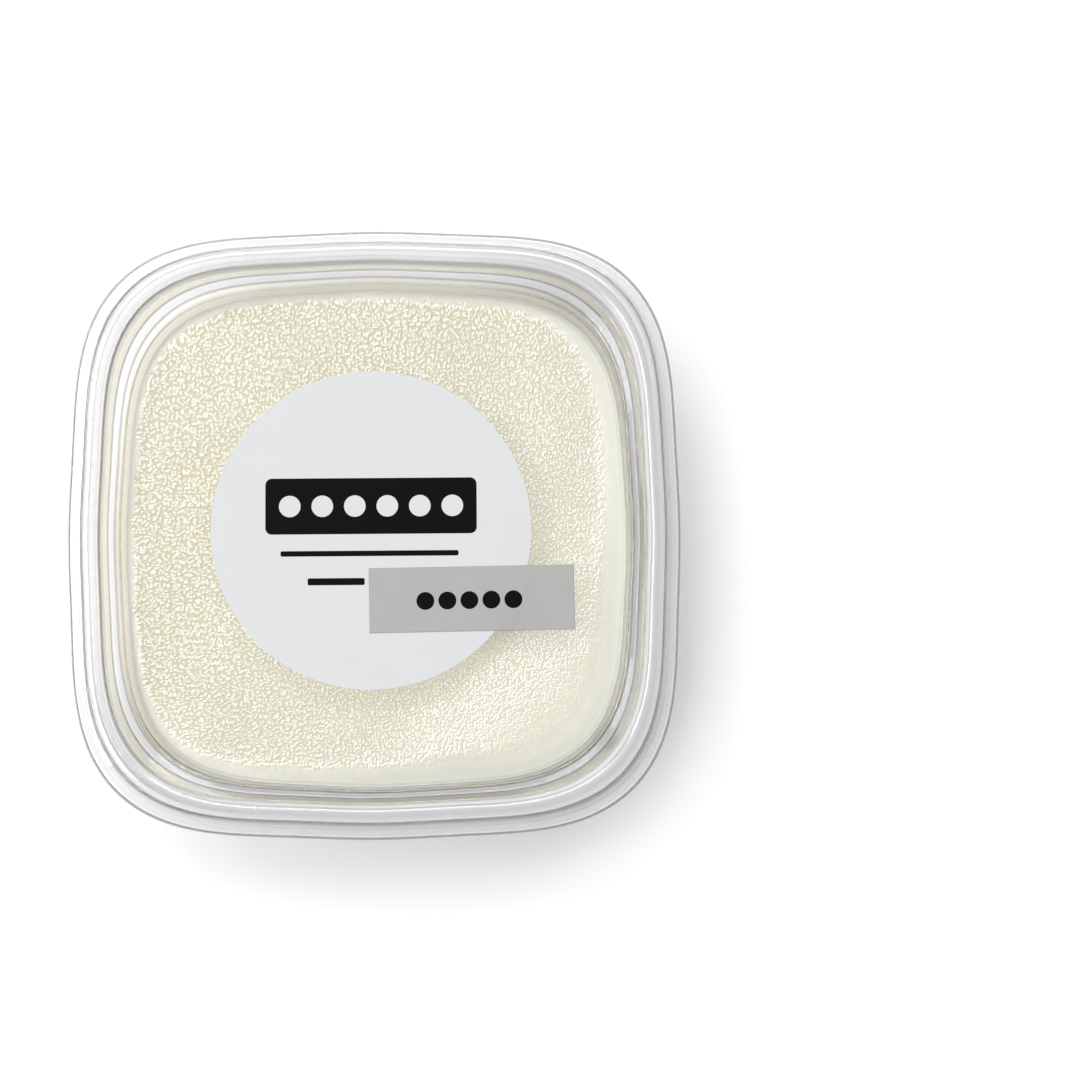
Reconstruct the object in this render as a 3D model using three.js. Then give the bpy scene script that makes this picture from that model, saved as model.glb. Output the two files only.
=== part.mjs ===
// A clear square tub with round corners, filled with set milk pudding and shut with a clear press-on lid,
// with a round paper label and a small strip label on the lid.
// Millimetres, +Z up. The origin is the centre of the tub's base, on the surface that the tub stands on.
// A "half" is the distance from the upright centre line to the middle of a side.
import * as THREE from "three";

// Outline seen from above
const cornerSpread = 0.0799; // mean amount by which the outline stands outside its inscribed circle
const cornerSwing = 0.0938; // how much further the corners stand out than the sides
const cornerEase = 0.0139; // flattens the sides and tightens the corners
const outlineSteps = 80;
const arcStep = Math.PI / 4; // the largest turn between two points of a rounded edge

// Tub
const baseHalf = 42.2;
const baseEdgeRadius = 2.6;
const baseFullness = 0.8; // the corners grow rounder from the rim down to the base
const shoulderFullness = 0.93;
const tubWall = 0.8;
const tubFloor = 1.0;
const shoulderHalf = 47.8;
const shoulderHeight = 42.2;
const shoulderRise = 1.2;
const shoulderRadius = 1.2;
const seatHalf = 51.65;
const rimHalf = 52.6;
const rimUnderside = 46.9;
const rimSlope = 0.4;
const rimTop = 49.4;
const rimRadius = 0.8;

// Lid
const lidWall = 0.6;
const fitGap = 0.3;
const flangeHalf = 56.5;
const flangeHeight = 46.2;
const beadFootHalf = 54.7;
const beadOuterHalf = 53.5;
const beadInnerHalf = 50.0;
const beadTop = 50.4;
const beadRadius = 1.4;
const beadHollowRadius = 0.9;
const ledgeHalf = 49.0;
const ledgeHeight = 47.2;
const panelHalf = 47.8;
const panelHeight = 45.6;
const creaseRadius = 0.45;

// Pudding
const puddingLevel = 38.0;
const meniscusRise = 1.1;
const meniscusCreep = 1.3;
const skinRings = [0.985, 0.96, 0.92, 0.85, 0.72, 0.58, 0.44, 0.3, 0.16];
const skinSwell = { height: 0.12, acrossX: 9.5, acrossY: 8.0, slant: 21, shift: 0.6 };

// Labels
const paperThickness = 0.15;
const paperGap = 0.05;
const roundLabel = { radius: 29.6, x: -0.65, y: 0.5 };
const stripLabel = { width: 37.8, depth: 12.0, x: 17.85, y: -12.45, turn: 0.7 };

// How much further out the outline runs at an angle than at the middle of a side.
function outlineStretch(angle, fullness) {
  const corner = cornerSpread - cornerSwing * Math.cos(4 * angle) + cornerEase * Math.cos(8 * angle);
  return 1 + fullness * corner;
}

// A profile of [half, height, radius] corners, with each corner that has a radius drawn as an arc.
function roundedProfile(corners) {
  const points = [];
  corners.forEach(([half, height, radius], index) => {
    const here = new THREE.Vector2(half, height);
    if (!radius) {
      points.push(here);
      return;
    }
    const [before, after] = [corners[index - 1], corners[index + 1]];
    const back = new THREE.Vector2(before[0], before[1]).sub(here).normalize();
    const ahead = new THREE.Vector2(after[0], after[1]).sub(here).normalize();
    const opening = Math.acos(back.dot(ahead));
    const inward = back.clone().add(ahead).normalize();
    const centre = here.clone().addScaledVector(inward, radius / Math.sin(opening / 2));
    const start = here.clone().addScaledVector(back, radius / Math.tan(opening / 2));
    const sweep = (opening - Math.PI) * Math.sign(back.cross(ahead));
    const steps = Math.max(1, Math.round(Math.abs(sweep) / arcStep));
    for (let step = 0; step <= steps; step++)
      points.push(start.clone().rotateAround(centre, (sweep * step) / steps));
  });
  return points;
}

// Turns a profile once round the centre line, then draws each ring out to the rounded square.
function squareTurning(profile, fullnessAt) {
  const geometry = new THREE.LatheGeometry(profile, outlineSteps);
  geometry.rotateX(Math.PI / 2);
  const position = geometry.getAttribute("position");
  for (let i = 0; i < position.count; i++) {
    const [x, y, z] = [position.getX(i), position.getY(i), position.getZ(i)];
    const stretch = outlineStretch(Math.atan2(y, x), fullnessAt(Math.hypot(x, y), z));
    position.setXYZ(i, x * stretch, y * stretch, z);
  }
  geometry.computeVertexNormals();
  return geometry;
}

const { mapLinear, clamp, degToRad } = THREE.MathUtils;
const rimFullness = (half) =>
  mapLinear(clamp(half, panelHalf, beadInnerHalf), panelHalf, beadInnerHalf, shoulderFullness, 1);
const tubFullness = (half, height) =>
  height > shoulderHeight
    ? rimFullness(half)
    : mapLinear(height, 0, shoulderHeight, baseFullness, shoulderFullness);
const wallInside = (height) =>
  mapLinear(height, 0, shoulderHeight, baseHalf, shoulderHalf) - tubWall;

function tubGeometry() {
  const seatInside = seatHalf - tubWall;
  const shoulderTop = shoulderHeight + shoulderRise;
  const outside = [
    [0, 0],
    [baseHalf, 0, baseEdgeRadius],
    [shoulderHalf, shoulderHeight, shoulderRadius],
    [seatHalf, shoulderTop, rimRadius],
    [seatHalf, rimUnderside],
    [rimHalf, rimUnderside + rimSlope],
    [rimHalf, rimTop, rimRadius],
  ];
  const inside = [
    [seatInside, rimTop, rimRadius],
    [seatInside, shoulderTop + tubWall, rimRadius],
    [shoulderHalf - tubWall, shoulderHeight + tubWall, shoulderRadius],
    [wallInside(tubFloor), tubFloor, baseEdgeRadius - tubWall],
    [0, tubFloor],
  ];
  return squareTurning(roundedProfile([...outside, ...inside]), tubFullness);
}

function lidGeometry() {
  const underside = [
    [0, panelHeight - lidWall],
    [panelHalf + lidWall / 4, panelHeight - lidWall, creaseRadius],
    [ledgeHalf - lidWall / 4, ledgeHeight - lidWall, creaseRadius],
    [beadInnerHalf + lidWall, ledgeHeight - lidWall, creaseRadius],
    [beadInnerHalf + lidWall, rimTop + fitGap, beadHollowRadius],
    [rimHalf + fitGap, rimTop + fitGap, beadHollowRadius],
    [beadFootHalf - lidWall, flangeHeight - lidWall, creaseRadius],
    [flangeHalf, flangeHeight - lidWall],
  ];
  const topside = [
    [flangeHalf, flangeHeight],
    [beadFootHalf, flangeHeight, creaseRadius],
    [beadOuterHalf, beadTop, beadRadius],
    [beadInnerHalf, beadTop, beadRadius],
    [beadInnerHalf, ledgeHeight, creaseRadius],
    [ledgeHalf, ledgeHeight, creaseRadius],
    [panelHalf, panelHeight, creaseRadius],
    [0, panelHeight],
  ];
  return squareTurning(roundedProfile([...underside, ...topside]), rimFullness);
}

// The pudding fills the tub to its level, creeps up the wall, and its skin swells slightly.
function puddingGeometry() {
  const floor = tubFloor + fitGap;
  const edge = wallInside(puddingLevel) - fitGap;
  const topAt = (half) => puddingLevel + meniscusRise * Math.exp((half - edge) / meniscusCreep);
  const profile = roundedProfile([
    [0, floor],
    [wallInside(floor) - fitGap, floor, baseEdgeRadius - tubWall],
    [edge, topAt(edge)],
    ...skinRings.map((share) => [share * edge, topAt(share * edge)]),
    [0, puddingLevel],
  ]);
  const geometry = squareTurning(profile, tubFullness);
  const { height, acrossX, acrossY, slant, shift } = skinSwell;
  const skinReach = skinRings[0] * edge;
  const position = geometry.getAttribute("position");
  for (let i = 0; i < position.count; i++) {
    const [x, y, z] = [position.getX(i), position.getY(i), position.getZ(i)];
    const onSkin = z >= puddingLevel && Math.hypot(x, y) < skinReach;
    const swell = height * Math.sin(x / acrossX + shift) * Math.cos(y / acrossY - x / slant);
    if (onSkin) position.setZ(i, z + swell);
  }
  geometry.computeVertexNormals();
  return geometry;
}

function roundLabelGeometry() {
  const { radius } = roundLabel;
  return new THREE.CylinderGeometry(radius, radius, paperThickness, outlineSteps).rotateX(Math.PI / 2);
}

function stripLabelGeometry() {
  return new THREE.BoxGeometry(stripLabel.width, stripLabel.depth, paperThickness);
}

const clearPlastic = { roughness: 0.06, metalness: 0, transparent: true, depthWrite: false };
const tubPlastic = new THREE.MeshStandardMaterial({ ...clearPlastic, color: 0xe8ecec, opacity: 0.3 });
const lidPlastic = new THREE.MeshStandardMaterial({ ...clearPlastic, color: 0xeff2f3, opacity: 0.25 });
const setPudding = new THREE.MeshStandardMaterial({ color: 0xf0ebd9, roughness: 0.38 });
const whitePaper = new THREE.MeshStandardMaterial({ color: 0xf0f0f2, roughness: 0.62 });
const greyPaper = new THREE.MeshStandardMaterial({ color: 0xb9b9ba, roughness: 0.6 });

function piece(name, geometry, material) {
  const mesh = new THREE.Mesh(geometry, material);
  mesh.name = name;
  return mesh;
}

const tub = piece("tub", tubGeometry(), tubPlastic);
const pudding = piece("pudding", puddingGeometry(), setPudding);
const lid = piece("lid", lidGeometry(), lidPlastic);

const roundPaper = piece("round_label", roundLabelGeometry(), whitePaper);
const roundHeight = panelHeight + paperGap + paperThickness / 2;
roundPaper.position.set(roundLabel.x, roundLabel.y, roundHeight);

const stripPaper = piece("strip_label", stripLabelGeometry(), greyPaper);
stripPaper.position.set(stripLabel.x, stripLabel.y, roundHeight + paperThickness + paperGap);
stripPaper.rotation.z = degToRad(stripLabel.turn);

const labelledLid = new THREE.Group();
labelledLid.add(lid, roundPaper, stripPaper);

const puddingTub = new THREE.Group();
puddingTub.add(tub, pudding, labelledLid);

export default puddingTub;
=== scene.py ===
import math

import bpy
from mathutils import Matrix, Vector


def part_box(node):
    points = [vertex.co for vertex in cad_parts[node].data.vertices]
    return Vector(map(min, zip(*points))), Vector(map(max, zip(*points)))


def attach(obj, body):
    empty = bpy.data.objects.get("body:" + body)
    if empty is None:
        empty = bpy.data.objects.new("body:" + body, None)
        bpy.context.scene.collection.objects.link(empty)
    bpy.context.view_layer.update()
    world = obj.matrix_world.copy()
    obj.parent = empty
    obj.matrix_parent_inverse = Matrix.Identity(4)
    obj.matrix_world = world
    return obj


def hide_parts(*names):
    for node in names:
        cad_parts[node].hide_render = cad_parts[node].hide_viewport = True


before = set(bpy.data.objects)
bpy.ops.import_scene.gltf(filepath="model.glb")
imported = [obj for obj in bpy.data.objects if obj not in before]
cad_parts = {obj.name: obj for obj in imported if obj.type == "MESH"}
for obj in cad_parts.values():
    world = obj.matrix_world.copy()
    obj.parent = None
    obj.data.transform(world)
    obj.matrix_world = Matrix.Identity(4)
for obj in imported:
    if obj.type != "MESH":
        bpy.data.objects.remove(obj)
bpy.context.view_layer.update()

mm = 0.001
tubBox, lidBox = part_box("tub"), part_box("lid")
roundBox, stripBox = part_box("round_label"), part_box("strip_label")
print("frame loaded")


# node trees: one node, one sum, one range at a time
def put(tree, kind, values=None, **settings):
    made = tree.nodes.new(kind)
    for name, value in settings.items():
        setattr(made, name, value)
    for name, value in (values or {}).items():
        if isinstance(value, bpy.types.NodeSocket):
            tree.links.new(value, made.inputs[name])
        else:
            made.inputs[name].default_value = value
    return made


def sums(tree, operation, first, second=0.0, third=0.0):
    return put(tree, "ShaderNodeMath", {0: first, 1: second, 2: third}, operation=operation).outputs[0]


def plus(tree, first, second):
    return sums(tree, "ADD", first, second)


def minus(tree, first, second):
    return sums(tree, "SUBTRACT", first, second)


def times(tree, first, second):
    return sums(tree, "MULTIPLY", first, second)


def timesPlus(tree, first, second, added):
    return sums(tree, "MULTIPLY_ADD", first, second, added)


def mixed(tree, share, first, second):
    return timesPlus(tree, minus(tree, second, first), share, first)


def hypotenuse(tree, x, y):
    return sums(tree, "SQRT", plus(tree, times(tree, x, x), times(tree, y, y)))


def ranged(tree, value, fromLow, fromHigh, toLow=0.0, toHigh=1.0, smooth=False):
    return put(tree, "ShaderNodeMapRange", {
        "Value": value, "From Min": fromLow, "From Max": fromHigh, "To Min": toLow, "To Max": toHigh,
    }, interpolation_type="SMOOTHSTEP" if smooth else "LINEAR").outputs["Result"]


def rangedMm(tree, value, span, toLow=0.0, toHigh=1.0, smooth=False):
    return ranged(tree, value, span[0] * mm, span[1] * mm, toLow, toHigh, smooth)


def swings(tree, value, low, high, span=(0.3, 0.7)):
    # a noise mostly keeps to the middle of 0 to 1
    return ranged(tree, value, *span, low, high)


def parted(tree, vector):
    return put(tree, "ShaderNodeSeparateXYZ", {0: vector}).outputs


def joined(tree, x, y, z):
    return put(tree, "ShaderNodeCombineXYZ", {0: x, 1: y, 2: z}).outputs[0]


def blended(tree, share, first, second):
    return put(tree, "ShaderNodeMix", {
        "Factor": share, "A": first, "B": second}, data_type="RGBA").outputs["Result"]


def shaded(tree, colour, shade):
    return put(tree, "ShaderNodeVectorMath", {0: colour, "Scale": shade}, operation="SCALE").outputs[0]


def noise(tree, place, size, detail=2.0, roughness=0.5, output="Fac"):
    return put(tree, "ShaderNodeTexNoise", {
        "Vector": place, "Scale": 1 / (size * mm), "Detail": detail, "Roughness": roughness}).outputs[output]


# geometry trees
def newGeometryTree(name, sizes):
    tree = bpy.data.node_groups.new(name, "GeometryNodeTree")
    tree.interface.new_socket("Geometry", in_out="OUTPUT", socket_type="NodeSocketGeometry")
    tree.interface.new_socket("Geometry", in_out="INPUT", socket_type="NodeSocketGeometry")
    tree.interface.new_socket("Finish", in_out="INPUT", socket_type="NodeSocketMaterial")
    for label, value in sizes.items():
        kind = "NodeSocketInt" if isinstance(value, int) else "NodeSocketFloat"
        tree.interface.new_socket(label, in_out="INPUT", socket_type=kind).default_value = value
    return tree, tree.nodes.new("NodeGroupInput").outputs


def meshPlace(tree):
    return parted(tree, tree.nodes.new("GeometryNodeInputPosition").outputs[0])


def kept(tree, geometry, name, value):
    return put(tree, "GeometryNodeStoreNamedAttribute", {
        "Geometry": geometry, "Name": name, "Value": value}, data_type="FLOAT", domain="POINT").outputs[0]


def lifted(tree, geometry, lift):
    return put(tree, "GeometryNodeSetPosition", {
        "Geometry": geometry, "Offset": joined(tree, 0.0, 0.0, lift)}).outputs[0]


def endGeometryTree(tree, given, geometry):
    real = put(tree, "GeometryNodeRealizeInstances", {"Geometry": geometry})
    painted = put(tree, "GeometryNodeSetMaterial", {"Geometry": real.outputs[0], "Material": given["Finish"]})
    put(tree, "NodeGroupOutput", {"Geometry": painted.outputs[0]})
    return tree


def grow(piece, tree, finish, sizes):
    modifier = piece.modifiers.new(tree.name, "NODES")
    modifier.node_group = tree
    values = {"Finish": finish, **sizes}
    for item in tree.interface.items_tree:
        if item.in_out == "INPUT" and item.name in values:
            modifier[item.identifier] = values[item.name]
    depsgraph = bpy.context.evaluated_depsgraph_get()
    grown = bpy.data.meshes.new_from_object(piece.evaluated_get(depsgraph))
    piece.modifiers.remove(modifier)
    piece.data = grown
    return piece


# pieces
def addToScene(name, data):
    thing = bpy.data.objects.new(name, data)
    bpy.context.scene.collection.objects.link(thing)
    return thing


def newPiece(name, verts, faces, smooth=True):
    mesh = bpy.data.meshes.new(name)
    mesh.from_pydata(verts, [], faces)
    if smooth:
        mesh.shade_smooth()
    return addToScene(name, mesh)


def rides(piece, node=None):
    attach(piece, "root")
    if node:
        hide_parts(node)
    return piece


# profiles and turning, in millimetres
def roundedProfile(corners, arcStep=math.radians(15), guard=0.03):
    points = []
    for index, (half, height, *edge) in enumerate(corners):
        here = Vector((half, height))
        if not edge:
            points.append(here)
            continue
        radius = edge[0]
        back = (Vector(corners[index - 1][:2]) - here).normalized()
        ahead = (Vector(corners[index + 1][:2]) - here).normalized()
        opening = back.angle(ahead)
        centre = here + (back + ahead).normalized() * radius / math.sin(opening / 2)
        start = here + back * radius / math.tan(opening / 2) - centre
        turn = math.copysign(math.pi - opening, back.y * ahead.x - back.x * ahead.y)
        steps = max(2, round(abs(turn) / arcStep))
        # a guard point at each end of the arc keeps the flats beside it flat in smooth shading
        points.append(centre + start + back * guard)
        for step in range(steps + 1):
            angle = turn * step / steps
            swung = Vector((start.x * math.cos(angle) - start.y * math.sin(angle),
                            start.x * math.sin(angle) + start.y * math.cos(angle)))
            points.append(centre + swung)
        points.append(centre + swung + ahead * guard)
    return points


def turned(name, profile, turns):
    verts, faces, rings = [], [], []
    spokes = [(math.cos(math.tau * turn / turns), math.sin(math.tau * turn / turns)) for turn in range(turns)]
    for half, height in profile:
        onAxis = half < 1e-6
        rings.append([len(verts)] * turns if onAxis else range(len(verts), len(verts) + turns))
        around = spokes[:1] if onAxis else spokes
        verts += [(half * mm * across, half * mm * along, height * mm) for across, along in around]
    for low, high in zip(rings, rings[1:]):
        for turn in range(turns):
            ahead = (turn + 1) % turns
            corners = low[turn], low[ahead], high[ahead], high[turn]
            faces.append(tuple(dict.fromkeys(corners)))  # a pole's quad closes to a triangle
    return newPiece(name, verts, faces)


# the rounded square that every ring of the tub, lid and pudding is drawn out to
outline = {
    "cornerSpread": 0.0799,  # how far the outline stands outside its inscribed circle, on average
    "cornerSwing": 0.0938,  # how far the corners stand out from that average, and the sides stand back
    "cornerEase": 0.0139,  # flattens the sides and tightens the corners
    "baseFullness": 0.8,  # the corners grow rounder from the rim down to the base
    "shoulderFullness": 0.93,
    "shoulderHeight": 42.2,
    "panelHalf": 47.8,
    "beadHalf": 50.0,
    "turns": 360,
}


def drawOutTree():
    tree, given = newGeometryTree("drawOutToSquare", {
        "Corner Spread": 0.08, "Corner Swing": 0.09, "Corner Ease": 0.01,
        "Base Fullness": 0.8, "Shoulder Fullness": 0.9, "Shoulder Height": 0.04,
        "Panel Half": 0.048, "Bead Half": 0.05,
    })
    x, y, z = meshPlace(tree)
    angle = sums(tree, "ARCTAN2", y, x)
    half = hypotenuse(tree, x, y)
    # four corners in a turn, and a ripple at twice that pace for their ease
    swing = times(tree, sums(tree, "COSINE", times(tree, angle, 4)), given["Corner Swing"])
    ease = times(tree, sums(tree, "COSINE", times(tree, angle, 8)), given["Corner Ease"])
    corner = plus(tree, minus(tree, given["Corner Spread"], swing), ease)
    low = ranged(tree, z, 0.0, given["Shoulder Height"], given["Base Fullness"], given["Shoulder Fullness"])
    high = ranged(tree, half, given["Panel Half"], given["Bead Half"], given["Shoulder Fullness"], 1.0)
    above = sums(tree, "GREATER_THAN", z, given["Shoulder Height"])
    stretch = timesPlus(tree, mixed(tree, above, low, high), corner, 1.0)
    drawn = joined(tree, times(tree, x, stretch), times(tree, y, stretch), z)
    withHalf = kept(tree, given["Geometry"], "half", half)  # the finishes read each point's half width
    moved = put(tree, "GeometryNodeSetPosition", {"Geometry": withHalf, "Position": drawn})
    return endGeometryTree(tree, given, moved.outputs[0])


def drawOut(piece, tree, finish):
    return grow(piece, tree, finish, {
        "Corner Spread": outline["cornerSpread"], "Corner Swing": outline["cornerSwing"],
        "Corner Ease": outline["cornerEase"], "Base Fullness": outline["baseFullness"],
        "Shoulder Fullness": outline["shoulderFullness"], "Shoulder Height": outline["shoulderHeight"] * mm,
        "Panel Half": outline["panelHalf"] * mm, "Bead Half": outline["beadHalf"] * mm,
    })


# finishes: sizes in millimetres, and each noise as its size, detail and roughness
def newFinish(name):
    finish = bpy.data.materials.new(name)
    finish.use_nodes = True
    tree = finish.node_tree
    tree.nodes.clear()
    shader = tree.nodes.new("ShaderNodeBsdfPrincipled")
    output = put(tree, "ShaderNodeOutputMaterial", {"Surface": shader.outputs[0]})
    place = tree.nodes.new("ShaderNodeTexCoord").outputs["Object"]
    return finish, tree, shader, output, place


def carried(tree, name):
    return put(tree, "ShaderNodeAttribute", attribute_name=name).outputs["Fac"]


def bumped(tree, height, strength, depth):
    return put(tree, "ShaderNodeBump", {
        "Height": height, "Strength": strength, "Distance": depth * mm}).outputs[0]


def grey(tree, shade):
    return put(tree, "ShaderNodeCombineColor", {0: shade, 1: shade, 2: shade}).outputs[0]


def swapped(tree, ray, usual, other):
    # the other shader for one kind of ray
    path = tree.nodes.new("ShaderNodeLightPath").outputs
    return put(tree, "ShaderNodeMixShader", {0: path[ray], 1: usual, 2: other}).outputs[0]


# clear plastic of the tub and lid
plastic = {
    "ior": 1.5,
    "paintedLightBand": (-46, -20),  # along x, from the left side, painted lighter and clearer where the light comes from, to the rest
    "hazeAtLeft": 0.3,
    "turnedAway": (10, 42),  # towards the right or near side, from lit to turned from the light
    "paintedShadeRing": (46.2, 47.2),  # half widths, from the part inside to the ring painted greyer on those sides, as painted shade
    "smears": (9, 4, 0.6),
    "smearSpan": (0.4, 0.8),
    "smearRoughness": (0.0, 0.05),
    "waves": (7, 1.5),
    "waveStrength": 0.6,
    "passed": (0.975, 0.8),  # light let straight through, face on and edge on
    "edgeBlend": 0.3,
}

# half width in mm, tint and haze, from the middle outwards; the warm bands and dark lines are painted
# reflection and painted shade
tubRim = [
    (42.0, (0.98, 0.985, 0.98), 0.03),  # side wall
    (46.0, (0.97, 0.97, 0.95), 0.05),
    (46.4, (0.78, 0.755, 0.68), 0.25),  # warm band round the pudding's level, painted reflection of the pudding and painted shade of the floor seen through the wall
    (47.6, (0.82, 0.80, 0.73), 0.22),
    (48.0, (0.90, 0.90, 0.89), 0.1),  # shoulder
    (50.85, (0.93, 0.935, 0.935), 0.06),
    (51.0, (0.98, 0.98, 0.98), 0.6),  # pale line up the seat
    (51.7, (0.98, 0.98, 0.98), 0.6),
    (51.9, (0.93, 0.935, 0.935), 0.08),  # rim
]
lidRim = [
    (47.4, (0.99, 0.99, 0.99), 0.01),  # panel
    (47.8, (0.88, 0.85, 0.78), 0.03),
    (47.9, (0.46, 0.45, 0.45), 0.05),  # painted dark line round the panel, shade seen there by refraction
    (48.0, (0.46, 0.46, 0.48), 0.05),
    (48.1, (0.91, 0.92, 0.94), 0.2),  # slope up to the ledge
    (48.9, (0.91, 0.92, 0.935), 0.2),
    (48.98, (0.38, 0.37, 0.36), 0.05),  # painted dark line along the ledge
    (49.06, (0.38, 0.37, 0.36), 0.05),
    (49.16, (0.76, 0.75, 0.71), 0.15),  # warm ledge, painted reflection of pudding light carried up the plastic
    (49.85, (0.80, 0.76, 0.64), 0.15),
    (50.0, (0.84, 0.82, 0.76), 0.2),
    (50.1, (0.80, 0.80, 0.84), 0.4),  # inner wall of the bead
    (50.22, (0.80, 0.80, 0.84), 0.4),
    (50.35, (0.95, 0.96, 0.98), 0.5),
    (50.7, (1.0, 1.0, 1.0), 0.5),
    (51.0, (0.82, 0.82, 0.83), 0.3),  # top of the bead
    (53.0, (0.84, 0.84, 0.85), 0.3),
    (53.2, (1.0, 1.0, 1.0), 0.3),
    (53.4, (1.0, 1.0, 1.0), 0.3),
    (53.55, (0.52, 0.52, 0.53), 0.2),  # painted dark line down the bead's outer wall
    (53.95, (0.52, 0.52, 0.53), 0.2),
    (54.15, (1.0, 1.0, 1.0), 0.2),
    (54.75, (1.0, 1.0, 1.0), 0.2),
    (54.95, (0.87, 0.87, 0.88), 0.28),  # flange
    (55.7, (0.86, 0.86, 0.87), 0.28),
    (55.85, (0.98, 0.98, 0.98), 0.2),
    (56.0, (0.98, 0.98, 0.98), 0.2),
    (56.15, (0.5, 0.5, 0.51), 0.3),  # cut edge, painted dark
]


def bands(tree, across, steps):
    ramp = put(tree, "ShaderNodeValToRGB", {"Fac": across})
    stops = ramp.color_ramp.elements
    stops.remove(stops[1])
    for spot, colour in steps:
        stop = stops.new(spot) if spot else stops[0]
        stop.color = (*colour, 1)
    return ramp.outputs[0]


def clearPlastic(name, rim, waveDepth, paintedLightLeft, paintedShadeNearRight):
    finish, tree, shader, output, place = newFinish(name)
    shader.inputs["IOR"].default_value = plastic["ior"]
    x, y, z = parted(tree, place)
    half = carried(tree, "half")
    inner, outer = rim[0][0], rim[-1][0]
    across = rangedMm(tree, half, (inner, outer))
    steps = [((at - inner) / (outer - inner), tintWithPaintedLines, haze) for at, tintWithPaintedLines, haze in rim]
    # the ramp holds the plastic's tint with painted lines of reflection and shade
    tintWithPaintedLines = bands(tree, across, [(spot, tintWithPaintedLines) for spot, tintWithPaintedLines, haze in steps])
    clear = bands(tree, across, [(spot, (1 - haze,) * 3) for spot, tintWithPaintedLines, haze in steps])
    # painted light: brighter and less clouded at the left, where the light comes from; painted shade: greyer
    # in the outer ring at the right and near sides
    paintedLightAtLeft = rangedMm(tree, x, plastic["paintedLightBand"], paintedLightLeft, 1.0)
    clarity = rangedMm(tree, x, plastic["paintedLightBand"], plastic["hazeAtLeft"], 1.0)
    haze = times(tree, minus(tree, 1.0, clear), clarity)
    towards = sums(tree, "MAXIMUM", x, times(tree, y, -1.0))
    ring = rangedMm(tree, half, plastic["paintedShadeRing"])
    paintedShadeShare = times(tree, ring, rangedMm(tree, towards, plastic["turnedAway"], smooth=True))
    shade = times(tree, paintedLightAtLeft, mixed(tree, paintedShadeShare, 1.0, paintedShadeNearRight))
    tree.links.new(shaded(tree, tintWithPaintedLines, shade), shader.inputs["Base Color"])
    tree.links.new(minus(tree, 1.0, haze), shader.inputs["Transmission Weight"])
    smears = noise(tree, place, *plastic["smears"])
    smeared = swings(tree, smears, *plastic["smearRoughness"], span=plastic["smearSpan"])
    tree.links.new(smeared, shader.inputs["Roughness"])
    waves = noise(tree, place, *plastic["waves"])
    tree.links.new(bumped(tree, waves, plastic["waveStrength"], waveDepth), shader.inputs["Normal"])
    # lamps light what is inside straight through the plastic, as does light that has been scattered once
    edgeOn = put(tree, "ShaderNodeLayerWeight", {"Blend": plastic["edgeBlend"]}).outputs["Facing"]
    thinned = ranged(tree, edgeOn, 0.0, 1.0, *plastic["passed"])
    passing = put(tree, "ShaderNodeBsdfTransparent", {"Color": grey(tree, thinned)}).outputs[0]
    seen = swapped(tree, "Is Diffuse Ray", shader.outputs[0], passing)
    tree.links.new(swapped(tree, "Is Shadow Ray", seen, passing), output.inputs["Surface"])
    return finish


# skin of the pudding: its shape in the mesh, and the same shape finer as bump
skinSizes = {
    "pebbleSize": 0.64,
    "finer": 1.7,  # how fast the pebbles shrink towards the near right corner, per metre
    "pebbleDepth": 0.04,  # in the mesh
    "crispDepth": 0.11,  # more of the same relief as bump, finer than the mesh can hold
    "seed": 4.0,
    "bendSize": 2.2,  # bends that turn round cells to long, crooked ones
    "bendDepth": 0.9,
    "randomness": 0.85,
    "roundness": 0.36,  # squared distance from a pebble's middle to its foot, in pebbles
    "usualHeight": 0.7,  # the heights draw together round this where the skin is calm
    "patchSize": 11,  # patches with more and less relief
    "patches": (0.85, 1.15),
    "calmAlong": (15, 75),  # along x - y, from full relief to calm
    "calm": 0.6,
    "raggedSize": 3,
    "raggedDepth": 2.4,
    "clearOfWall": 0.9,
    "fadeAlong": (-10, 40),  # along x - y, from the short fade to the long one
    "fadeTo": (3.1, 6.0),
    "leanX": -0.014,  # the skin stops sooner at the right
    "leanY": 0.006,  # and later at the far side
}


def reliefOf(tree, flat, x, y, sizes):
    # height of the skin in pebble depths, 0 in the valleys, for shape and bump alike
    # the pattern's places run faster towards the near right corner, so the cells are finer there
    shrunkX = timesPlus(tree, times(tree, x, x), sizes["Finer"], x)
    shrunkY = minus(tree, y, times(tree, times(tree, y, y), sizes["Finer"]))
    shrunk = joined(tree, shrunkX, shrunkY, 0.0)
    # bent cells with round tops, some of them run together
    swirl = noise(tree, flat, skinSizes["bendSize"], 1.0, output="Color")
    bend = put(tree, "ShaderNodeVectorMath", {0: swirl, 1: (0.5, 0.5, 0.5)}, operation="SUBTRACT").outputs[0]
    bent = put(tree, "ShaderNodeVectorMath", {
        0: bend, 1: (skinSizes["bendDepth"] * mm,) * 3, 2: shrunk}, operation="MULTIPLY_ADD").outputs[0]
    away = put(tree, "ShaderNodeTexVoronoi", {
        "Vector": bent, "Scale": sums(tree, "DIVIDE", 1.0, sizes["Pebble Size"]),
        "Randomness": skinSizes["randomness"],
    }, voronoi_dimensions="2D").outputs["Distance"]
    pebbles = ranged(tree, times(tree, away, away), 0.0, skinSizes["roundness"], 1.0, 0.0)
    calm = rangedMm(tree, minus(tree, x, y), skinSizes["calmAlong"], 1.0, skinSizes["calm"], smooth=True)
    patches = swings(tree, noise(tree, flat, skinSizes["patchSize"], 1.0), *skinSizes["patches"])
    return mixed(tree, times(tree, calm, patches), skinSizes["usualHeight"], pebbles)


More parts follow.
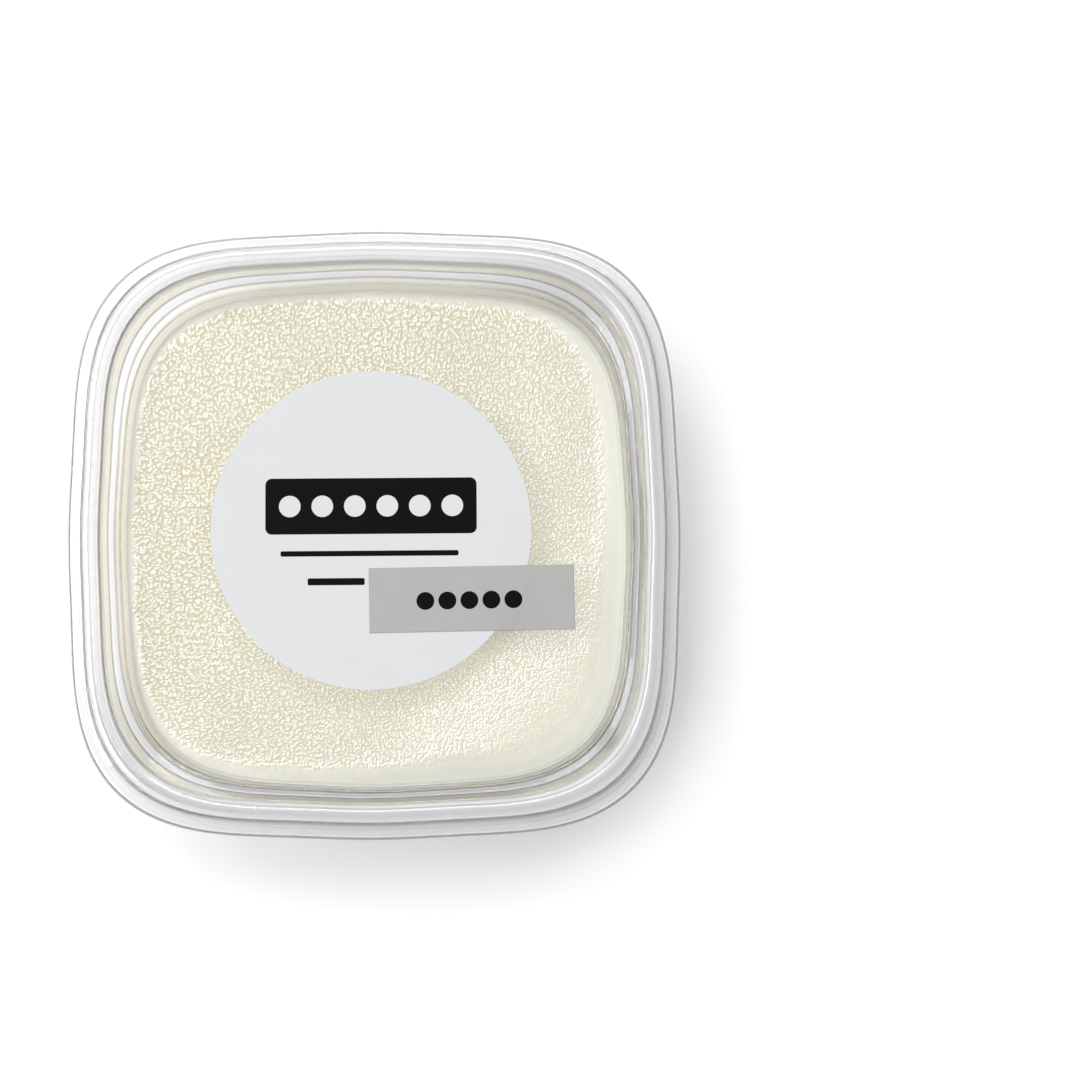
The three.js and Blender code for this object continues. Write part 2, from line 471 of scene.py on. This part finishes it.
def skinOf(tree, flat, half, x, y, sizes):
    # 1 over the pebbled top, falling raggedly to 0 before the wall, over a longer way at the near right
    ragged = minus(tree, noise(tree, flat, skinSizes["raggedSize"]), 0.5)
    inwards = minus(tree, sizes["Edge"], half)
    reach = timesPlus(tree, ragged, skinSizes["raggedDepth"] * mm, inwards)
    reach = timesPlus(tree, x, skinSizes["leanX"], timesPlus(tree, y, skinSizes["leanY"], reach))
    short, long = skinSizes["fadeTo"]
    fade = rangedMm(tree, minus(tree, x, y), skinSizes["fadeAlong"], short * mm, long * mm)
    return ranged(tree, reach, skinSizes["clearOfWall"] * mm, fade, 0.0, 1.0, smooth=True)


puddingLook = {
    "drift": (14, 3, 0.55),  # how the paired colours drift from one to the other
    "valleys": ((0.705, 0.65, 0.45, 1), (0.735, 0.685, 0.49, 1)),
    "pebbles": (0.83, 0.805, 0.65, 1),
    "pebblesFrom": (0.2, 0.9),  # height of the skin, from the valleys' colour to the pebbles', painted lighter on the tops as painted light
    # pebble tops painted lighter, as painted light
    "paintedGlints": (0.87, 0.865, 0.79, 1),
    "glintNoise": (0.45, 2, 0.6),
    "glintSpread": 0.9,
    "glintsFrom": (0.72, 0.95),  # the same, to the painted glints' colour
    "nearSlant": -0.8,  # the way to the near right is x + nearSlant * y
    "valleysEnd": (-25, 60),  # along that way, from yellow valleys to none
    "margin": (0.715, 0.715, 0.605),
    "marginShade": 0.97,
    "darkerRight": -0.7,  # painted shade: the margin's shade falls off by so much per metre to the right
    "darkerEnds": -80.0,  # and towards its far and near ends
    "wallBand": (45.9, 46.2),  # half widths, from the margin to a painted shade line by the wall
    "wallShadeDepth": 0.24,
    "turnedAway": (10, 42),  # the painted shade line shows at the right and near sides only, turned from the light
    "sides": ((0.79, 0.76, 0.62, 1), (0.83, 0.805, 0.68, 1)),
    "sidesTo": (37.0, 37.8),  # height, from the plain sides to the margin
    "specular": 1.0,
    "coat": 0.5,
    "coatRoughness": 0.05,
    "roughness": (0.45, 0.12),  # of the margin and of the skin
    "crispAlong": (35, 70),  # along x - y, from crisp bump to soft
    "crispLeast": 0.4,
}


def topColour(tree, place, x, y, drift, height):
    # painted light and shade: pebble tops painted lighter than the yellower valleys, less so towards the near
    # right, with crisp painted glints on the pebble tops
    look = puddingLook
    nearRight = rangedMm(tree, timesPlus(tree, y, look["nearSlant"], x), look["valleysEnd"])
    raised = sums(tree, "MAXIMUM", ranged(tree, height, *look["pebblesFrom"]), nearRight)
    body = blended(tree, raised, blended(tree, drift, *look["valleys"]), look["pebbles"])
    # painted glints where the speckled heights run high
    speckle = minus(tree, noise(tree, place, *look["glintNoise"]), 0.5)
    glinting = timesPlus(tree, speckle, look["glintSpread"], height)
    return blended(tree, ranged(tree, glinting, *look["glintsFrom"]), body, look["paintedGlints"])


def marginColour(tree, x, y, z, drift):
    # smooth margin round the skin, with painted light and shade, and plain cream against the tub's wall below
    # it
    look = puddingLook
    # painted light and shade: palest at the left, a little to the far side of the middle, darker to the right
    # and towards the far and near ends
    across = timesPlus(tree, x, look["darkerRight"], plus(tree, y, look["marginShade"]))
    shade = timesPlus(tree, times(tree, y, y), look["darkerEnds"], across)
    towards = sums(tree, "MAXIMUM", x, times(tree, y, -1.0))
    # painted shade line just inside the wall
    paintedWallShade = rangedMm(tree, carried(tree, "half"), look["wallBand"], 0.0, look["wallShadeDepth"], smooth=True)
    paintedWallShade = times(tree, paintedWallShade, rangedMm(tree, towards, look["turnedAway"]))
    margin = shaded(tree, look["margin"], minus(tree, shade, paintedWallShade))
    return blended(tree, rangedMm(tree, z, look["sidesTo"]), blended(tree, drift, *look["sides"]), margin)


def puddingFinish():
    look = puddingLook
    finish, tree, shader, output, place = newFinish("setPudding")
    x, y, z = parted(tree, place)
    flat = joined(tree, x, y, skinSizes["seed"] * mm)
    skin = carried(tree, "skin")
    height = reliefOf(tree, flat, x, y, {
        "Pebble Size": skinSizes["pebbleSize"] * mm, "Finer": skinSizes["finer"]})
    drift = swings(tree, noise(tree, place, *look["drift"]), 0.0, 1.0)
    top = topColour(tree, place, x, y, drift, height)
    shown = blended(tree, skin, marginColour(tree, x, y, z, drift), top)
    tree.links.new(shown, shader.inputs["Base Color"])
    shader.inputs["Specular IOR Level"].default_value = look["specular"]
    shader.inputs["Coat Weight"].default_value = look["coat"]
    shader.inputs["Coat Roughness"].default_value = look["coatRoughness"]
    tree.links.new(ranged(tree, skin, 0.0, 1.0, *look["roughness"]), shader.inputs["Roughness"])
    soft = rangedMm(tree, minus(tree, x, y), look["crispAlong"], 1.0, look["crispLeast"])
    crisp = times(tree, times(tree, skin, skin), soft)
    tree.links.new(bumped(tree, height, crisp, skinSizes["crispDepth"]), shader.inputs["Normal"])
    return finish


# paper and ink
paper = {
    "fibres": (4, 0.65),  # detail and roughness, each paper with its own size
    "cloud": (6, 2),
    "cloudShare": 0.35,
    "mottleSpan": (0.35, 0.65),
    "specular": 0.3,
    "roughness": (0.5, 0.62),
    "fibreStrength": 0.35,
    "fibreDepth": 0.02,
    "soaked": 0.88,  # light let into the paper's shadow, as it soaks through and round it in the milk
}
ink = {
    "grain": (0.25, 3, 0.6),
    "shade": (0.001, 0.003),
    "specular": 0.05,
    "roughness": (0.42, 0.55),
}


def paperFinish(name, colour, fleck, fleckSize):
    finish, tree, shader, output, place = newFinish(name)
    fibres = noise(tree, place, fleckSize, *paper["fibres"])
    cloud = noise(tree, place, *paper["cloud"])
    mottle = timesPlus(tree, cloud, paper["cloudShare"], times(tree, fibres, 1 - paper["cloudShare"]))
    shade = swings(tree, mottle, 1 - fleck, 1 + fleck, span=paper["mottleSpan"])
    tree.links.new(shaded(tree, colour, shade), shader.inputs["Base Color"])
    shader.inputs["Specular IOR Level"].default_value = paper["specular"]
    tree.links.new(swings(tree, fibres, *paper["roughness"]), shader.inputs["Roughness"])
    tree.links.new(bumped(tree, fibres, paper["fibreStrength"], paper["fibreDepth"]), shader.inputs["Normal"])
    glow = put(tree, "ShaderNodeBsdfTransparent", {"Color": (paper["soaked"],) * 3 + (1,)}).outputs[0]
    tree.links.new(swapped(tree, "Is Shadow Ray", shader.outputs[0], glow), output.inputs["Surface"])
    return finish


def inkFinish(name):
    finish, tree, shader, output, place = newFinish(name)
    grain = noise(tree, place, *ink["grain"])
    tree.links.new(grey(tree, swings(tree, grain, *ink["shade"])), shader.inputs["Base Color"])
    shader.inputs["Specular IOR Level"].default_value = ink["specular"]
    tree.links.new(swings(tree, grain, *ink["roughness"]), shader.inputs["Roughness"])
    return finish


# the plastics are painted lighter at the left and greyer at the near right, as painted light and shade
tubPlastic = clearPlastic("tubPlastic", tubRim, waveDepth=0.004, paintedLightLeft=1.2, paintedShadeNearRight=0.79)
lidPlastic = clearPlastic("lidPlastic", lidRim, waveDepth=0.003, paintedLightLeft=1.09, paintedShadeNearRight=0.92)
setPudding = puddingFinish()
whitePaper = paperFinish("whitePaper", (0.635, 0.64, 0.65), fleck=0.012, fleckSize=0.22)
greyPaper = paperFinish("greyPaper", (0.387, 0.385, 0.382), fleck=0.04, fleckSize=0.3)
blackInk = inkFinish("blackInk")
print("finishes made")


# clear tub
tub = {
    "baseHalf": 42.2,
    "baseEdge": 2.6,
    "wall": 0.5,
    "floor": 0.6,
    "shoulderHalf": 47.8,
    "shoulderHeight": outline["shoulderHeight"],
    "shoulderRise": 1.2,
    "shoulderEdge": 1.2,
    "seatHalf": 51.65,
    "rimHalf": tubBox[1].x / mm,
    "rimUnderside": 46.9,
    "rimSlope": 0.4,
    "rimTop": tubBox[1].z / mm,
    "rimEdge": 0.8,
    "rimInnerEdge": 0.5,
    "rimFootEdge": 0.2,
    "rimTipEdge": 0.3,
}


def wallOutside(height):
    rise = height / tub["shoulderHeight"]
    return tub["baseHalf"] + rise * (tub["shoulderHalf"] - tub["baseHalf"])


def makeTub(tree):
    wall = tub["wall"]
    seatInside = tub["seatHalf"] - wall
    shoulderTop = tub["shoulderHeight"] + tub["shoulderRise"]
    profile = roundedProfile([
        (0, 0),
        (tub["baseHalf"], 0, tub["baseEdge"]),
        (tub["shoulderHalf"], tub["shoulderHeight"], tub["shoulderEdge"]),
        (tub["seatHalf"], shoulderTop, tub["rimEdge"]),
        (tub["seatHalf"], tub["rimUnderside"], tub["rimFootEdge"]),
        (tub["rimHalf"], tub["rimUnderside"] + tub["rimSlope"], tub["rimTipEdge"]),
        (tub["rimHalf"], tub["rimTop"], tub["rimEdge"]),
        (seatInside, tub["rimTop"], tub["rimInnerEdge"]),
        (seatInside, shoulderTop + wall, tub["rimEdge"]),
        (tub["shoulderHalf"] - wall, tub["shoulderHeight"] + wall, tub["shoulderEdge"]),
        (wallOutside(tub["floor"]) - wall, tub["floor"], tub["baseEdge"] - wall),
        (0, tub["floor"]),
    ])
    piece = drawOut(turned("clear_tub", profile, outline["turns"]), tree, tubPlastic)
    return rides(piece, "tub")


# press-on lid
lid = {
    "wall": 0.45,
    "flangeHalf": lidBox[1].x / mm,
    "flangeHeight": 46.2,
    "lipDrop": 1.1,  # the flange's outer edge turns down
    "lipEdge": 0.75,
    "beadFootHalf": 54.7,
    "beadOuterHalf": 53.5,
    "beadInnerHalf": outline["beadHalf"],
    "beadDraft": 0.3,
    "beadTop": lidBox[1].z / mm,
    "beadEdge": 1.4,
    "ledgeHalf": 49.0,
    "ledgeHeight": 47.2,
    "panelHalf": outline["panelHalf"],
    "panelHeight": 45.6,
    "crease": 0.25,
    "creaseUnder": 0.6,
    "cutEdge": 0.15,
}


def makeLid(tree):
    wall, crease, creaseUnder = lid["wall"], lid["crease"], lid["creaseUnder"]
    lean = wall / 4  # the slope up to the ledge is a little steeper underneath
    under = lid["panelHeight"] - wall
    beadUnder = lid["beadTop"] - wall
    lipFoot = lid["flangeHeight"] - lid["lipDrop"]
    # the underside outwards from the middle, then the top back inwards
    profile = roundedProfile([
        (0, under),
        (lid["panelHalf"] + lean, under, creaseUnder),
        (lid["ledgeHalf"] - lean, lid["ledgeHeight"] - wall, creaseUnder),
        (lid["beadInnerHalf"] + wall, lid["ledgeHeight"] - wall, crease),
        (lid["beadInnerHalf"] + lid["beadDraft"] + wall, beadUnder, lid["beadEdge"] - wall),
        (lid["beadOuterHalf"] - wall, beadUnder, lid["beadEdge"] - wall),
        (lid["beadFootHalf"] - wall, lid["flangeHeight"] - wall, crease),
        (lid["flangeHalf"] - wall, lid["flangeHeight"] - wall, lid["lipEdge"] - wall),
        (lid["flangeHalf"] - wall, lipFoot, lid["cutEdge"]),
        (lid["flangeHalf"], lipFoot, lid["cutEdge"]),
        (lid["flangeHalf"], lid["flangeHeight"], lid["lipEdge"]),
        (lid["beadFootHalf"], lid["flangeHeight"], crease),
        (lid["beadOuterHalf"], lid["beadTop"], lid["beadEdge"]),
        (lid["beadInnerHalf"] + lid["beadDraft"], lid["beadTop"], lid["beadEdge"]),
        (lid["beadInnerHalf"], lid["ledgeHeight"], crease),
        (lid["ledgeHalf"], lid["ledgeHeight"], crease),
        (lid["panelHalf"], lid["panelHeight"], crease),
        (0, lid["panelHeight"]),
    ])
    piece = drawOut(turned("clear_lid", profile, outline["turns"]), tree, lidPlastic)
    return rides(piece, "lid")


# milk pudding with its pebbled skin
pudding = {
    "level": 38.0,
    "topFrom": 0.4,  # points less than this below the level belong to the top
    "intoWall": 0.12,
    "intoFloor": 0.1,
    "meniscusRise": 0.2,
    "meniscusCreep": 0.6,
    "swellHeight": 0.12,
    "swellAcross": (9.5, 8.0, 21.0),
    "swellShift": 0.6,
    "turns": 1040,
    "fineFrom": 0.54,  # share of the half width where the closely spaced rings begin
    "fineStep": 0.27,
    "coarseRings": (0.93, 0.85, 0.75, 0.62, 0.45, 0.25),  # shares of what lies inside those
}


def puddingSkinTree():
    tree, given = newGeometryTree("pebbledSkin", {
        "Level": 0.038, "Edge": 0.046, "Pebble Size": 0.001, "Finer": 1.0,
        "Pebble Depth": 0.0001, "Swell Height": 0.0001, "Seed": 0.001,
    })
    x, y, z = meshPlace(tree)
    flat = joined(tree, x, y, given["Seed"])
    half = put(tree, "GeometryNodeInputNamedAttribute", {"Name": "half"}, data_type="FLOAT").outputs[0]
    top = sums(tree, "GREATER_THAN", z, minus(tree, given["Level"], pudding["topFrom"] * mm))
    skin = times(tree, top, skinOf(tree, flat, half, x, y, given))
    # broad swells, as in the solid
    acrossX, acrossY, slant = pudding["swellAcross"]
    sideways = sums(tree, "SINE", timesPlus(tree, x, 1 / (acrossX * mm), pudding["swellShift"]))
    slanted = minus(tree, times(tree, y, 1 / (acrossY * mm)), times(tree, x, 1 / (slant * mm)))
    swell = times(tree, times(tree, sideways, sums(tree, "COSINE", slanted)), given["Swell Height"])
    height = reliefOf(tree, flat, x, y, given)
    relief = times(tree, minus(tree, height, 0.5), given["Pebble Depth"])
    raised = lifted(tree, given["Geometry"], times(tree, plus(tree, relief, swell), skin))
    return endGeometryTree(tree, given, kept(tree, raised, "skin", skin))


def makePudding(drawTree, skinTree):
    inside = tub["wall"] - pudding["intoWall"]
    floor = tub["floor"] - pudding["intoFloor"]
    edge = wallOutside(pudding["level"]) - inside

    def topAt(half):
        return pudding["level"] + pudding["meniscusRise"] * math.exp((half - edge) / pudding["meniscusCreep"])

    side = roundedProfile([
        (0, floor),
        (wallOutside(floor) - inside, floor, tub["baseEdge"] - inside),
        (edge, topAt(edge)),
    ])
    fineRings = int((1 - pudding["fineFrom"]) * edge / pudding["fineStep"])
    shares = [1 - (1 - pudding["fineFrom"]) * ring / fineRings for ring in range(1, fineRings + 1)]
    shares += [pudding["fineFrom"] * part for part in pudding["coarseRings"]]
    top = [Vector((share * edge, topAt(share * edge))) for share in shares] + [Vector((0, pudding["level"]))]
    piece = turned("set_pudding", side + top, pudding["turns"])
    drawOut(piece, drawTree, setPudding)
    grow(piece, skinTree, setPudding, {
        "Level": pudding["level"] * mm, "Edge": edge * mm, "Swell Height": pudding["swellHeight"] * mm,
        "Pebble Size": skinSizes["pebbleSize"] * mm, "Finer": skinSizes["finer"],
        "Pebble Depth": skinSizes["pebbleDepth"] * mm, "Seed": skinSizes["seed"] * mm,
    })
    print("pudding has", len(piece.data.polygons), "faces")
    return rides(piece, "pudding")


# paper labels
labels = {
    "paper": 0.12,
    "gap": 0.01,
    "edge": 0.04,
    "edgeStep": math.radians(30),
    "turns": 240,
    "radius": (roundBox[1].x - roundBox[0].x) / 2 / mm,
    "centre": (roundBox[0] + roundBox[1]) / 2,
    "strip": (37.8, 12.0),
    "stripCentre": (stripBox[0] + stripBox[1]) / 2,
    "stripTurn": math.radians(0.7),
    "stripCells": (180, 56),
    "dropRun": 3.0,  # how far past the round label's edge the strip meets the lid again
}


def drapeTree():
    tree, given = newGeometryTree("drapeOverEdge", {
        "Centre X": 0.0, "Centre Y": 0.0, "Radius": 0.03, "Run": 0.001, "Drop": 0.0001})
    x, y, z = meshPlace(tree)
    across = minus(tree, x, given["Centre X"])
    along = minus(tree, y, given["Centre Y"])
    past = minus(tree, hypotenuse(tree, across, along), given["Radius"])
    down = times(tree, given["Drop"], -1.0)
    fallen = ranged(tree, past, 0.0, given["Run"], 0.0, down, smooth=True)
    return endGeometryTree(tree, given, lifted(tree, given["Geometry"], fallen))


def drape(piece, tree, finish):
    return grow(piece, tree, finish, {
        "Centre X": labels["centre"].x, "Centre Y": labels["centre"].y, "Radius": labels["radius"] * mm,
        "Run": labels["dropRun"] * mm, "Drop": (labels["paper"] + labels["gap"]) * mm,
    })


def makeRoundLabel():
    bottom = lid["panelHeight"] + labels["gap"]
    top = bottom + labels["paper"]
    radius, edge = labels["radius"], labels["edge"]
    profile = roundedProfile([
        (0, bottom), (radius, bottom, edge), (radius, top, edge), (0, top)], labels["edgeStep"])
    piece = turned("round_paper", profile, labels["turns"])
    piece.data.transform(Matrix.Translation((labels["centre"].x, labels["centre"].y, 0)))
    piece.data.materials.append(whitePaper)
    return rides(piece, "round_label")


def makeStripLabel(tree):
    width, depth = labels["strip"]
    across, along = labels["stripCells"]
    bottom = lid["panelHeight"] + labels["gap"] + labels["paper"] + labels["gap"]
    verts = [(width * mm * (i / across - 0.5), depth * mm * (j / along - 0.5), 0)
             for j in range(along + 1) for i in range(across + 1)]
    row = across + 1
    faces = [(j * row + i, j * row + i + 1, (j + 1) * row + i + 1, (j + 1) * row + i)
             for j in range(along) for i in range(across)]
    piece = newPiece("strip_paper", verts, faces)
    place = Vector((labels["stripCentre"].x, labels["stripCentre"].y, bottom * mm))
    piece.data.transform(Matrix.Translation(place) @ Matrix.Rotation(labels["stripTurn"], 4, "Z"))
    drape(piece, tree, greyPaper)
    thick = piece.modifiers.new("paper", "SOLIDIFY")
    thick.thickness = labels["paper"] * mm
    thick.offset = 1.0
    return rides(piece, "strip_label")


# plain print on the labels: bars and rows of dots
printing = {
    "ink": 0.012,
    "bars": {  # width, depth and corner radius, then the place of the middle
        "round_bar": ((39.0, 10.4, 1.2), (-0.65, 4.9)),
        "round_rule": ((32.8, 1.0, 0.3), (-0.95, -3.9)),
        "round_tick": ((10.5, 1.3, 0.3), (-7.1, -9.1)),
    },
    "barDots": {"count": 6, "size": 4.0, "step": 6.0, "place": (-0.65, 4.9)},
    "stripDots": {"count": 5, "size": 3.3, "step": 4.05, "place": (17.4, -12.7)},
    "cornerSteps": 6,
    "dotSides": 40,
    "dotRings": 8,  # the dots can bend with the strip
}


def barOutline(width, depth, corner):
    points = []
    steps = printing["cornerSteps"]
    for quarter, (sideX, sideY) in enumerate([(1, 1), (-1, 1), (-1, -1), (1, -1)]):
        for step in range(steps + 1):
            angle = (quarter + step / steps) * math.pi / 2
            points.append((sideX * (width / 2 - corner) + corner * math.cos(angle),
                           sideY * (depth / 2 - corner) + corner * math.sin(angle)))
    return points


def makeBar(name, size, place, bottom):
    points = barOutline(*size)
    count = len(points)
    verts = [((place[0] + x) * mm, (place[1] + y) * mm, height * mm)
             for height in (bottom, bottom + printing["ink"]) for x, y in points]
    sides = [(i, (i + 1) % count, count + (i + 1) % count, count + i) for i in range(count)]
    faces = [tuple(reversed(range(count))), tuple(range(count, 2 * count)), *sides]
    piece = newPiece(name, verts, faces, smooth=False)
    piece.data.materials.append(blackInk)
    return rides(piece)


def dotRowTree():
    tree, given = newGeometryTree("dotRow", {
        "Count": 5, "Step": 0.004, "Turn": 0.0, "Dot Size": 0.003, "Thickness": 0.00001,
        "X": 0.0, "Y": 0.0, "Z": 0.0})
    reach = times(tree, minus(tree, given["Count"], 1.0), -0.5)
    stepX = times(tree, given["Step"], sums(tree, "COSINE", given["Turn"]))
    stepY = times(tree, given["Step"], sums(tree, "SINE", given["Turn"]))
    startX = timesPlus(tree, stepX, reach, given["X"])
    startY = timesPlus(tree, stepY, reach, given["Y"])
    line = put(tree, "GeometryNodeMeshLine", {
        "Count": given["Count"], "Start Location": joined(tree, startX, startY, given["Z"]),
        "Offset": joined(tree, stepX, stepY, 0.0)})
    dot = put(tree, "GeometryNodeMeshCylinder", {
        "Vertices": printing["dotSides"], "Fill Segments": printing["dotRings"],
        "Radius": times(tree, given["Dot Size"], 0.5), "Depth": given["Thickness"]})
    row = put(tree, "GeometryNodeInstanceOnPoints", {"Points": line.outputs[0], "Instance": dot.outputs[0]})
    return endGeometryTree(tree, given, row.outputs[0])


def makeDots(name, tree, finish, row, height, turn=0.0):
    acrossX, alongY = row["place"]
    return grow(newPiece(name, [], [], smooth=False), tree, finish, {
        "Count": row["count"], "Step": row["step"] * mm, "Turn": turn, "Dot Size": row["size"] * mm,
        "Thickness": printing["ink"] * mm, "X": acrossX * mm, "Y": alongY * mm,
        "Z": (height + printing["ink"] / 2) * mm})


def makePrint(dotTree, drapeOver):
    onRound = lid["panelHeight"] + labels["gap"] + labels["paper"]
    onGrey = onRound + labels["gap"] + labels["paper"]
    for name, (size, place) in printing["bars"].items():
        makeBar(name, size, place, onRound)
    dots = makeDots("bar_dots", dotTree, whitePaper, printing["barDots"], onRound + printing["ink"])
    rides(dots)
    dots = makeDots("strip_dots", dotTree, blackInk, printing["stripDots"], onGrey, labels["stripTurn"])
    rides(drape(dots, drapeOver, blackInk))


drawTree = drawOutTree()
makeTub(drawTree)
makeLid(drawTree)
print("tub and lid made")
makePudding(drawTree, puddingSkinTree())
drapeOver = drapeTree()
makeRoundLabel()
makeStripLabel(drapeOver)
makePrint(dotRowTree(), drapeOver)
print("labels made")


# floor, light and camera, in metres and degrees
studio = {
    "floorHalf": 3.0,
    "floorShade": 0.95,
    "floorRoughness": 0.9,
    "world": 0.37,
    "lampDistance": 2.0,
    "energy": 4,  # watts per square metre of softbox at brightness 1
    "softboxes": {  # direction round the part, angle from overhead, width, height, brightness
        "leftLight": (176, 26, 1.1, 0.5, 9.4),
        "farLight": (98, 26, 1.1, 0.5, 7.0),
        "nearLight": (300, 38, 0.7, 0.6, 0.9),
    },
    "lens": 100.0,
    "sensor": 36.0,
    "clipStart": 0.01,
    "cameraPlace": (0.0240, -0.0636, 0.5958),
    "cameraTurn": (6.43, -0.62, -0.50),
}


def makeFloor():
    half = studio["floorHalf"]
    floor = newPiece("floor", [(-half, -half, 0), (half, -half, 0), (half, half, 0), (-half, half, 0)],
                     [(0, 1, 2, 3)], smooth=False)
    finish, tree, shader, output, place = newFinish("paleFloor")
    shader.inputs["Base Color"].default_value = (studio["floorShade"],) * 3 + (1,)
    shader.inputs["Roughness"].default_value = studio["floorRoughness"]
    shader.inputs["Specular IOR Level"].default_value = 0.0
    floor.data.materials.append(finish)


def makeSoftbox(name, around, fromZenith, width, height, brightness):
    light = bpy.data.lights.new(name, "AREA")
    light.shape = "RECTANGLE"
    light.size, light.size_y = width, height
    light.energy = brightness * studio["energy"] * width * height
    lamp = addToScene(name, light)
    around, tilt = math.radians(around), math.radians(fromZenith)
    where = Vector((math.sin(tilt) * math.cos(around), math.sin(tilt) * math.sin(around), math.cos(tilt)))
    lamp.location = where * studio["lampDistance"]
    lamp.rotation_euler = where.to_track_quat("Z", "Y").to_euler()


def makeWorld():
    scene = bpy.context.scene
    scene.world = bpy.data.worlds.new("studio")
    scene.world.use_nodes = True
    background = scene.world.node_tree.nodes["Background"]
    background.inputs["Color"].default_value = (1, 1, 1, 1)
    background.inputs["Strength"].default_value = studio["world"]
    scene.view_settings.view_transform = "Standard"


def makeCamera():
    data = bpy.data.cameras.new("camera")
    data.lens = studio["lens"]
    data.sensor_width = studio["sensor"]
    data.clip_start = studio["clipStart"]
    camera = addToScene("camera", data)
    camera.location = studio["cameraPlace"]
    camera.rotation_euler = [math.radians(angle) for angle in studio["cameraTurn"]]
    bpy.context.scene.camera = camera


makeFloor()
for name, lamp in studio["softboxes"].items():
    makeSoftbox(name, *lamp)
makeWorld()
makeCamera()
print("stage made")
